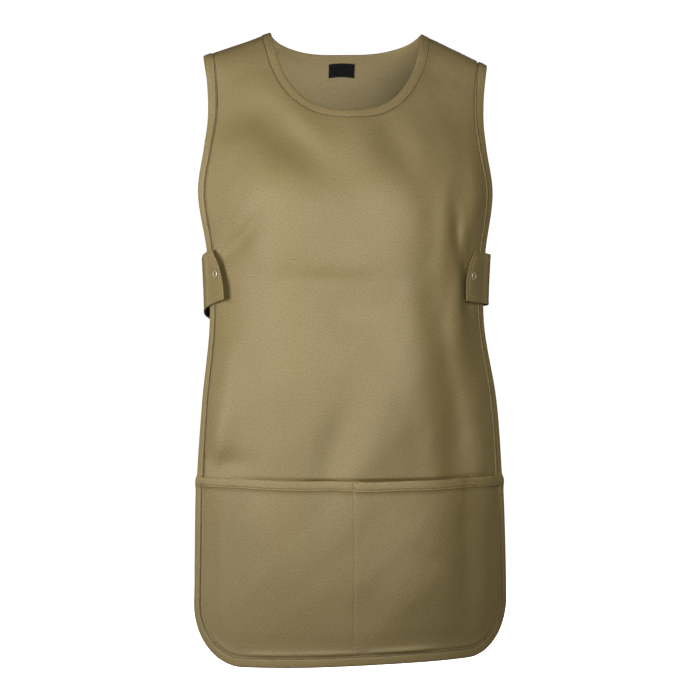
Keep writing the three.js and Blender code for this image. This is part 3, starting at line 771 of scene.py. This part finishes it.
# %% Sweep of a tape
def swept_tape(name, path, towards, lift, loose, node):
    step = inwards(path, towards)
    line = wrapped()
    count, length = len(path), spaced(path, 2)[1]
    run = np.arange(count) * 2 * math.pi / (count - 1)
    waves = [(9.1, 0.9, 0.07), (12.7, -0.6, 0.08), (31, 0.2, 0.08)]
    outer = line[:, 1] > FACES_PART
    reach = np.clip(line[:, 0], 0, TAPE_WIDTH) / TAPE_WIDTH
    ripple = sum(h * np.sin(round(length / w) * run[:, None] + k * line[None, :, 0]) for w, k, h in waves)
    ripple = ripple * (np.where(outer, 1, -0.6) * reach * (1 - 0.5 * reach) * 2)[None]
    inset = line[None, :, 0] + 0.12 * np.sin(run * round(length / 17))[:, None] * reach[None]
    lifted = np.where(outer, 1, np.where(line[:, 1] < 0, 0, 0.5))
    height = line[None, :, 1] + ripple + lift[:, None] * lifted[None] + loose[:, None] * rim_lift(line)
    u, along = [path[:, None, i] + step[:, None, i] * inset for i in (0, 1)]
    points, _ = above(u, along, height)
    flat = np.stack(np.broadcast_arrays(run[:, None] / (2 * math.pi) * length, run_length(line)[None]), -1)
    piece = grid_sheet(name, points[::towards], flat[::towards], bias_tape, TAPE_WALLS)
    weld(piece)
    finish_sheet(piece, node, TAPE_WALL, 0.0)
    return piece


EDGE_STATIONS, NECK_STATIONS = 1151, 301
edge_path, neck_path = loop(outer_edge, EDGE_STATIONS)[0], loop(neck_edge, NECK_STATIONS)[0]
edge_up, neck_up = edge_lift(edge_path[:, 1]), seam_lift(neck_path[:, 1])
edge_u = edge_path[:, 0]
edge_loose = 0.35 + 0.55 * ease((np.abs(edge_u) - 0.93) / 0.06) + 0.3 * ease((edge_u - 0.93) / 0.06)
edge_loose *= ease((np.abs(edge_path[:, 1]) - 25) / 60)
edge_tape = swept_tape("edge_tape", edge_path, 1, edge_up, edge_loose, "edge_binding")
neck_loose = 0.15 + 0.75 * ease((-neck_path[:, 1] - 20) / 60)
neck_tape = swept_tape("neck_tape", neck_path, -1, neck_up, neck_loose, "neck_binding")

# %% [markdown]
# ## Tape of the pocket's mouth
# The mouth has the same tape, but sewn on the pocket, and its ends go under the edge tape. So a like line,
# with a deeper dent, is swept across the pocket's own surface.

# %% Pocket tape
MOUTH_STATIONS = 150
MOUTH_HALF = 190
MOUTH_WAVES = ((0.09, 10.3, 0.8), (0.12, 17.9, -0.5))  # height, length, slant
MOUTH_SHAPE = np.array([
    (10.0, 0.30), (9.8, 0.16), (9.4, 0.0), (9.1, 0.08), (8.8, 0.35), (STITCH_AT, 0.75),
    (7.9, 0.35), (7.5, 0.05), (6.4, -0.1), (4.4, -0.14), (2.0, -0.12), (0.4, 0),
])
mouth_u = np.concatenate([np.linspace(-0.988, 0.988, MOUTH_STATIONS), np.linspace(-0.04, 0.024, 33)])
mouth_u = np.unique(mouth_u.round(4))
mouth_line = wrapped(MOUTH_SHAPE)
mouth_run = ((mouth_u + 1) * MOUTH_HALF)[:, None]
inset, face = mouth_line[None, :, 0], mouth_line[None, :, 1]
ripples = sum(h * np.sin(mouth_run * 2 * math.pi / w + k * inset) for h, w, k in MOUTH_WAVES)
ripples *= np.where(face > FACES_PART, 1, -0.5) * ease(inset / 6)
ripples -= 0.95 * bell(mouth_u - SEAM_U, 0.009)[:, None] * (face > FACES_PART)
mouth_along = mouth(mouth_u)[:, None] - inset
mouth_places = on_pocket(mouth_u[:, None], mouth_along, face + ripples)[0][::-1]
mouth_flat = np.stack(np.broadcast_arrays(mouth_run, run_length(mouth_line)[None]), -1)[::-1]
pocket_tape = grid_sheet("pocket_tape", mouth_places, mouth_flat, mouth_tape, TAPE_WALLS)
finish_sheet(pocket_tape, "pocket_binding", TAPE_WALL, 0.0)

# %% [markdown]
# ## Side tabs
# Two wide tabs of double cloth, sewn to the back, come round the waist and are snapped to the front. A
# smooth curve runs through a few places above the cloth, and the tab is the sheet between many such curves,
# one for each height. A row of stitches runs inside its rim, where the wall is thinner.

# %% Curves of a tab
SIGN = {"left": -1, "right": 1}
TAB_HEIGHT, TAB_WALL = {"left": 65.5, "right": 62.0}, 2.2
TAB_Z = {"left": -294.5, "right": -297.5}
TAB_END_SLANT = {"left": 19.1, "right": 14.6}  # degrees
TAB_END_BOW = {"left": 6.5, "right": 6.3}
TAB_PATHS = {  # front or back, u, height above the cloth, drop below the free end
    "left": ((-1, 0.865, 11.2, 0), (-1, 0.925, 7.7, 2.5), (-1, 0.98, 5.6, 6), (-1, 1.012, 4.9, 9.5),
             (1, 1.03, 3.8, 19.2), (1, 0.975, 4.8, 24), (1, 0.92, 4.8, 26), (1, 0.86, 4.8, 28)),
    "right": ((-1, 0.815, 8.9, 0), (-1, 0.885, 7.5, 1.5), (-1, 0.965, 6.1, 2.4), (-1, 1.01, 6.5, 3.5),
              (1, 1.038, 4.8, 4.6), (1, 0.975, 4.8, 3.8), (1, 0.92, 5, 3.4), (1, 0.86, 4.8, 3)),
}
CURVE_SAMPLES = 60


def along_at(side, z):
    places = np.linspace(20, FRONT_HEM if side < 0 else BACK_HEM, 4000) * side
    heights = smooth(ALONG, SECTIONS[:, :1], places)[:, 0]
    return np.interp(-z, -heights, places)


def through(points, samples):
    first, last = 2 * points[:, :1] - points[:, 1:2], 2 * points[:, -1:] - points[:, -2:-1]
    p = np.concatenate([first, points, last], 1)
    gap = np.linalg.norm(np.diff(p, axis=1), axis=2)[..., None] ** 0.5
    a, b, c = gap[:, :-2], gap[:, 1:-1], gap[:, 2:]
    p0, p1, p2, p3 = p[:, :-3], p[:, 1:-2], p[:, 2:-1], p[:, 3:]
    leave = ((p1 - p0) / a - (p2 - p0) / (a + b) + (p2 - p1) / b) * b
    reach = ((p2 - p1) / b - (p3 - p1) / (b + c) + (p3 - p2) / c) * b
    s = np.linspace(0, 1, samples)[None, None, :, None]
    curve = hermite(s, *(v[:, :, None] for v in (p1, p2, leave, reach)))
    return np.concatenate([curve[:, :, :-1].reshape(len(points), -1, 3), curve[:, -1, -1:]], 1)


def tab_surface(hand, shares, heights):
    knots = []
    for side, u, height, drop in TAB_PATHS[hand]:
        along = along_at(side, TAB_Z[hand] + heights - drop)
        knots.append(over(smooth_cloth, SIGN[hand] * u, along, height)[0])
    rows = []
    for curve, height in zip(through(np.stack(knots, 1), CURVE_SAMPLES), heights):
        length = run_length(curve)
        slant = (height + TAB_HEIGHT[hand] / 2) * math.tan(math.radians(TAB_END_SLANT[hand]))
        start = max(0, slant - TAB_END_BOW[hand] * (1 - (2 * height / TAB_HEIGHT[hand]) ** 2))
        at = np.clip(start + (length[-1] - start) * shares, 0, length[-1])
        rows.append(at_length(at, length, curve))
    return np.stack(rows, 1), length[-1]


# %% Tab sheets
TAB_STITCH_IN = 6.2
TAB_GRID = (100, 63)
FROM_RIM = [0, 0.8, 2.2, 5.2, TAB_STITCH_IN, 7.2, 12, 20]
WALL_SHARE = [0.5, 0.8, 0.92, 0.88, 0.62, 0.86, 0.97, 1.0]


def tab_places(hand, grid):
    return np.linspace(0, 1, grid[0]), np.linspace(-0.5, 0.5, grid[1]) * TAB_HEIGHT[hand]


def side_tab(hand):
    shares, heights = tab_places(hand, TAB_GRID)
    points, length = tab_surface(hand, shares, heights)
    flat = np.stack(np.broadcast_arrays(shares[:, None] * length, heights[None]), -1)
    from_end = np.minimum(shares, 1 - shares)[:, None] * length
    in_from = np.minimum(TAB_HEIGHT[hand] / 2 - np.abs(heights)[None], from_end)
    wall = np.interp(in_from, FROM_RIM, WALL_SHARE)
    points, flat, wall = (values[::SIGN[hand]] for values in (points, flat, wall))
    piece = grid_sheet("side_tab_" + hand + "_cloth", points, flat, khaki_twill, wall)
    finish_sheet(piece, "side_tab_" + hand, TAB_WALL, 0.0, 60)
    return piece, length


tabs = {hand: side_tab(hand) for hand in ("left", "right")}
print("tabs", {hand: round(length) for hand, (piece, length) in tabs.items()}, "mm long")

# %% [markdown]
# ## Woven label
# A small, plain black satin label is sewn inside the back of the neck, under the tape: a fine sheet a
# little off the cloth, in a satin material with a tight weave.

# %% Label
satin, tree, shader = new_material("black_label")
place = flat_place(tree)
satin_rows = bands(tree, place, 900.0, "Y", 0.5)
satin_fuzz = noise(tree, place, 2400.0, 2.0)
satin_stops = [(0.3, (0.002, 0.002, 0.0024)), (0.75, (0.006, 0.0058, 0.0056))]
fill(tree, shader, {
    "Base Color": colour_ramp(tree, satin_fuzz, satin_stops),
    "Normal": bump(tree, satin_rows, 0.3, 0.0001),
    "Roughness": 0.6,
    "Specular IOR Level": 0.08,
})

LABEL_WIDTH, LABEL_HEIGHT, LABEL_WALL = 33.0, 16.0, 0.7
LABEL_OFF = -1.0
BACK_HALF = 165
label_top = NECK_DROP[1] + 8.6
label_u = np.linspace(-1, 1, 45) * LABEL_WIDTH / 2 / half_width(label_top)
label_down = label_top + np.linspace(0, 1, 25) * LABEL_HEIGHT
label_u, label_down = np.meshgrid(label_u, label_down, indexing="ij")
label_places = above(label_u, label_down, LABEL_OFF)[0]
label_flat = np.stack([label_u * BACK_HALF, label_down], -1)
label_cloth = grid_sheet("label_cloth", label_places, label_flat, satin)
finish_sheet(label_cloth, "neck_label", LABEL_WALL, join=True)

# %% [markdown]
# ## Stitches
# Rows of topstitching hold everything together. One stitch is modelled once, as a slim bead with few faces,
# and copied along each row at an even pitch. The copies are joined in a few meshes, which keeps the scene
# light.

# %% One stitch
STITCH_SIZE = (1.25, 0.30, 0.26)
bpy.ops.object.select_all(action="DESELECT")
bpy.ops.mesh.primitive_uv_sphere_add(segments=6, ring_count=5, radius=1.0)
stitch = bpy.context.object
edit_all()
bpy.ops.transform.rotate(value=math.pi / 2, orient_axis="Y", center_override=(0, 0, 0))
bpy.ops.transform.resize(value=STITCH_SIZE)
bpy.ops.object.mode_set(mode="OBJECT")
STITCH_POINTS = np.array([v.co for v in stitch.data.vertices])
STITCH_FACES = [list(p.vertices) for p in stitch.data.polygons]
bpy.data.objects.remove(stitch)


def thread(name, dark, light):
    material, tree, shader = new_material(name)
    fibres = noise(tree, object_place(tree), 2600.0, 2.0)
    fill(tree, shader, {
        "Base Color": colour_ramp(tree, fibres, [(0.3, dark), (0.7, light)]),
        "Normal": bump(tree, fibres, 0.4, 0.0001),
        "Roughness": 0.6,
    })
    return material


tan_thread = thread("tan_thread", (0.31, 0.245, 0.125), (0.44, 0.355, 0.20))
black_thread = thread("black_thread", (0.004, 0.004, 0.004), (0.012, 0.011, 0.011))

# %% Rows of stitches
PITCH = 3.0
LOOK = 0.8  # how far to both sides a stitch looks for its direction
THREAD_OFF = 0.12


def stitch_row(points, normals, pitch=PITCH):
    length = run_length(points)
    count = max(2, round(length[-1] / pitch))
    at = (np.arange(count) + 0.5) * length[-1] / count
    middle, normal = at_length(at, length, points), at_length(at, length, normals)
    along = unit(at_length(at + LOOK, length, points) - at_length(at - LOOK, length, points))
    across = unit(np.cross(normal, along))
    return middle, along, across, np.cross(along, across)


def stitches(name, rows, material=tan_thread):
    middle, along, across, normal = (np.concatenate(part) for part in zip(*rows))
    axes = np.stack([along, across, normal], 1)
    points = middle[:, None] + STITCH_POINTS[None] @ axes
    size = len(STITCH_POINTS)
    faces = [[k * size + v for v in face] for k in range(len(middle)) for face in STITCH_FACES]
    mesh = bpy.data.meshes.new(name)
    mesh.from_pydata((points.reshape(-1, 3) * MM).tolist(), [], faces)
    mesh.materials.append(material)
    piece = bpy.data.objects.new(name, mesh)
    bpy.context.collection.objects.link(piece)
    smooth_shade(piece, 80)
    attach(piece, "root")
    print(name, len(middle), "stitches,", triangles(piece), "triangles")
    return piece


# One row on the outer face of a tape and one on its inner face.
def tape_rows(path, towards, lift):
    step = inwards(path, towards) * STITCH_AT
    rows = []
    for way, height in ((1, OUTER_FACE + lift + THREAD_OFF), (-1, 0 * lift + INNER_FACE - THREAD_OFF)):
        points, normals = above(*(path + step).T, height)
        rows.append(stitch_row(points, way * normals))
    return rows


edge_threads = stitches("edge_threads", tape_rows(edge_path, 1, edge_up))
neck_threads = stitches("neck_threads", tape_rows(neck_path, -1, neck_up))

# %% [markdown]
# The pocket has a row along its tape and one down its middle, with a bar tack of two short rows at the
# mouth. Two rows hold the shoulder seams, one holds the label, and each tab has a row inside its rim.

# %% Pocket, shoulder and label rows
TACK_LENGTH, TACK_PITCH, TACK_ASIDE = 17, 2.1, 0.0026
row_u = np.linspace(-0.93, 0.93, 200)
mouth_row = stitch_row(*on_pocket(row_u, mouth(row_u) - STITCH_AT, OUTER_FACE - 0.28))
row_down = np.linspace(mouth(0) - 11, -(FRONT_HEM - 11), 120)
middle_row = stitch_row(*on_pocket(0 * row_down + SEAM_U, row_down, CLOTH - 0.02))
tack_down = np.linspace(mouth(0) - 0.5, mouth(0) - TACK_LENGTH, 40)
tack_rows = []
for aside in (-TACK_ASIDE, TACK_ASIDE):
    tack = on_pocket(0 * tack_down + SEAM_U + aside, tack_down, CLOTH + 0.06)
    tack_rows.append(stitch_row(*tack, TACK_PITCH))
pocket_threads = stitches("pocket_threads", [mouth_row, middle_row, *tack_rows])
shoulder_rows = []
for hand in (-1, 1):
    row_u = np.linspace(NECK_U + 0.065, 0.935, 60) * hand
    shoulder_rows.append(stitch_row(*above(row_u, -5.0, CLOTH + 0.72)))
shoulder_threads = stitches("shoulder_threads", shoulder_rows)


def rectangle(width, height, count=80):
    corners = np.array([(-1, -1), (1, -1), (1, 1), (-1, 1), (-1, -1)]) * (width / 2, height / 2)
    return np.concatenate([np.linspace(a, b, count) for a, b in zip(corners[:-1], corners[1:])])


LABEL_RIM, LABEL_PITCH = 2.4, 2.6
rim = rectangle(LABEL_WIDTH - LABEL_RIM, LABEL_HEIGHT - LABEL_RIM)
rim_along = label_top + LABEL_HEIGHT / 2 - rim[:, 1]
rim_points, rim_normals = above(rim[:, 0] / half_width(label_top), rim_along, -1.75)
label_row = stitch_row(rim_points, -rim_normals, LABEL_PITCH)
label_threads = stitches("label_threads", [label_row], black_thread)

# %% Tab rows
FINE_GRID = (160, 90)
tab_rows = []
for hand, (piece, length) in tabs.items():
    tall = TAB_HEIGHT[hand]
    path = rectangle(1 - 2 * TAB_STITCH_IN / length, tall - 2 * TAB_STITCH_IN, 60)
    surface = tab_surface(hand, *tab_places(hand, FINE_GRID))[0]
    normal = unit(np.cross(np.gradient(surface, axis=0), np.gradient(surface, axis=1))) * SIGN[hand]
    i = np.rint((path[:, 0] + 0.5) * (FINE_GRID[0] - 1)).astype(int)
    j = np.rint((path[:, 1] / tall + 0.5) * (FINE_GRID[1] - 1)).astype(int)
    line = surface[i, j] + normal[i, j] * (TAB_WALL / 2 * 0.62 + 0.15)
    keep = np.concatenate([[True], np.linalg.norm(np.diff(line, axis=0), axis=1) > 0.05])
    tab_rows.append(stitch_row(line[keep], normal[i, j][keep]))
tab_threads = stitches("tab_threads", tab_rows)

# %% [markdown]
# ## Press studs
# Each tab is closed by a ring-shaped press stud of plated metal. Its ring is turned like a lathe part: one
# circle is extruded and scaled through a short list of radii and heights, until it meets itself. The stud
# hidden under the tab keeps the plain solid of the part, coloured a dark grey metal as painted shade, so
# that it sits unseen in the tab's shadow.

# %% Metals
plated, tree, shader = new_material("snap_metal")
brush = noise(tree, object_place(tree), 700.0, 4.0, 0.6)
fill(tree, shader, {
    "Base Color": colour_ramp(tree, brush, [(0.3, (0.50, 0.46, 0.36)), (0.7, (0.64, 0.59, 0.47))]),
    "Roughness": in_range(tree, brush, To_Min=0.38, To_Max=0.50),
    "Metallic": 0.6,
})
# Painted shade: this dark metal colour stands in for the shadow under the tab where the stud sits
shade_dark_metal, tree, shader = new_material("stud_metal")
stud_mottle = noise(tree, object_place(tree), 500.0, 3.0)
fill(tree, shader, {
    "Base Color": colour_ramp(tree, stud_mottle, [(0.3, (0.07, 0.066, 0.058)), (0.7, (0.13, 0.12, 0.105))]),
    "Roughness": 0.5,
    "Metallic": 0.9,
})

# %% Snap rings
RING_STEPS = (  # radius and height of each turn; the last one is also the first circle
    (3.2, 0.7), (3.4, 0.95), (4.1, 1.1), (4.7, 0.95), (4.98, 0.6), (5.0, 0.3), (4.9, 0.05), (3.4, 0.05),
    (3.2, 0.3),
)


def snap_ring(hand):
    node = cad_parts["snap_ring_" + hand]
    points = np.array([node.matrix_world @ v.co for v in node.data.vertices])
    centre = (points.min(0) + points.max(0)) / 2
    axis = np.linalg.svd(points - points.mean(0))[2][2]
    axis = axis * (1 if axis[1] < 0 else -1)
    lowest = ((points - centre) @ axis).min()
    radius, height = RING_STEPS[-1]
    bpy.ops.object.select_all(action="DESELECT")
    bpy.ops.mesh.primitive_circle_add(vertices=40, radius=radius * MM, location=(0, 0, 0))
    ring = bpy.context.object
    ring.name = ring.data.name = "snap_ring_" + hand + "_turned"
    edit_all()
    bpy.ops.transform.translate(value=(0, 0, height * MM))
    for new_radius, new_height in RING_STEPS:
        bpy.ops.mesh.extrude_edges_move()
        scale = new_radius / radius
        bpy.ops.transform.resize(value=(scale, scale, 1), center_override=(0, 0, 0))
        bpy.ops.transform.translate(value=(0, 0, (new_height - height) * MM))
        radius, height = new_radius, new_height
    bpy.ops.object.mode_set(mode="OBJECT")
    weld(ring)
    ring.data.transform(Vector(axis).to_track_quat("Z", "Y").to_matrix().to_4x4())
    ring.data.transform(Matrix.Translation(centre + axis * lowest))
    ring.data.materials.append(plated)
    smooth_shade(ring, 60)
    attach(ring, "root")
    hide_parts("snap_ring_" + hand)
    return ring


for hand in ("left", "right"):
    ring = snap_ring(hand)
    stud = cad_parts["snap_stud_" + hand]
    stud.data.materials.clear()
    stud.data.materials.append(shade_dark_metal)
    print(ring.name, triangles(ring), "triangles")

# %% [markdown]


# %% [markdown]
# ## Studio and light
# The studio is plain white on every side: one wide cylinder is its floor and walls, so the apron can be
# looked at from the back too. It shines by itself and stays white, and it neither lights the apron nor
# shades it.

# %% White studio
FLOOR_HEIGHT, STUDIO_HEIGHT, STUDIO_RADIUS = -0.80, 7.0, 8
paper, tree, shader = new_material("white_paper")
fill(tree, shader, {"Base Color": (*WHITE, 1), "Emission Color": (*WHITE, 1), "Emission Strength": 1.0})
bpy.ops.object.select_all(action="DESELECT")
bpy.ops.mesh.primitive_cylinder_add(vertices=64, radius=STUDIO_RADIUS, depth=STUDIO_HEIGHT,
                                    location=(0, 0, 0))
sweep = bpy.context.object
sweep.name = sweep.data.name = "white_sweep"
edit_all()
bpy.ops.transform.translate(value=(0, 0, FLOOR_HEIGHT + STUDIO_HEIGHT / 2))
bpy.ops.mesh.flip_normals()
bpy.ops.object.mode_set(mode="OBJECT")
sweep.data.materials.append(paper)
sweep.visible_diffuse = sweep.visible_glossy = sweep.visible_shadow = False

# %% Lights
SOFT_WHITE, WARM_WHITE = (1, 0.99, 0.97), (1, 0.985, 0.96)
AMBIENT, AMBIENT_STRENGTH = (1, 0.96, 0.88, 1), 0.08


def area_light(name, place, aim, size, power, tint=SOFT_WHITE):
    bpy.ops.object.light_add(type="AREA", location=place)
    lamp = bpy.context.object
    lamp.name = name
    lamp.data.shape = "SQUARE"
    lamp.data.size = size
    lamp.data.energy = power
    lamp.data.color = tint
    lamp.visible_camera = False
    lamp.rotation_euler = (Vector(aim) - Vector(place)).to_track_quat("-Z", "Y").to_euler()
    print("light", name, "of", power, "watts")


area_light("key", (-0.86, -0.50, -0.28), (0, -0.1, -0.15), 0.45, 7.2, WARM_WHITE)
area_light("front_light", (0.10, -0.88, -0.22), (0, -0.1, -0.18), 0.4, 6.1)
area_light("inner_light", (0, -0.02, -0.22), (0, 0.07, -0.06), 0.12, 0.15)
area_light("top_light", (0.1, -0.5, 1.3), (0, 0, -0.1), 0.9, 2.5)
area_light("back_light", (0.1, 1.3, 0.1), (0, 0.1, -0.3), 1.0, 22)
world = bpy.data.worlds.new("studio")
bpy.context.scene.world = world
world.use_nodes = True
fill(world.node_tree, world.node_tree.nodes["Background"], {"Color": AMBIENT, "Strength": AMBIENT_STRENGTH})
bpy.context.scene.view_settings.view_transform = "Standard"
